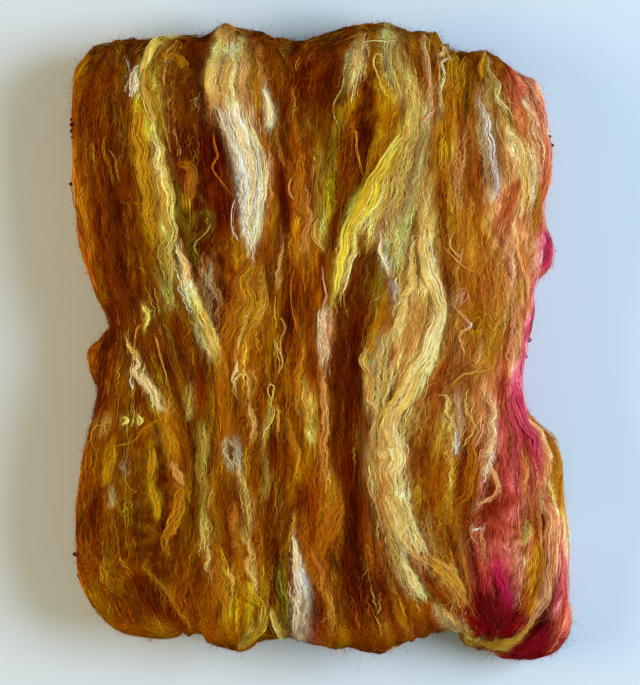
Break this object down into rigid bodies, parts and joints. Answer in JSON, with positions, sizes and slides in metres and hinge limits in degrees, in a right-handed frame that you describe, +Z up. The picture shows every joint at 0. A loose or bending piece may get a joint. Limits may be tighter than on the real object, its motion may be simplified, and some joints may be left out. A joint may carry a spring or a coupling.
{
  "type": "silk batt",
  "caption": "Folded fleece mat of carded wool and silk locks for hand spinning or felting, lying flat.",
  "frame": {"origin": "centre of the bounding box's base, on the surface the folded batt lies on", "axes": "+Y along the fibres towards the fold, +X across the batt to its pink side, +Z up"},
  "size_m": [0.21, 0.2668, 0.0517],
  "materials": {
    "fleece": "loose carded fibre, soft sheen"
  },
  "bodies": {
    "root": {"batt": "fleece"}
  },
  "joints": []
}
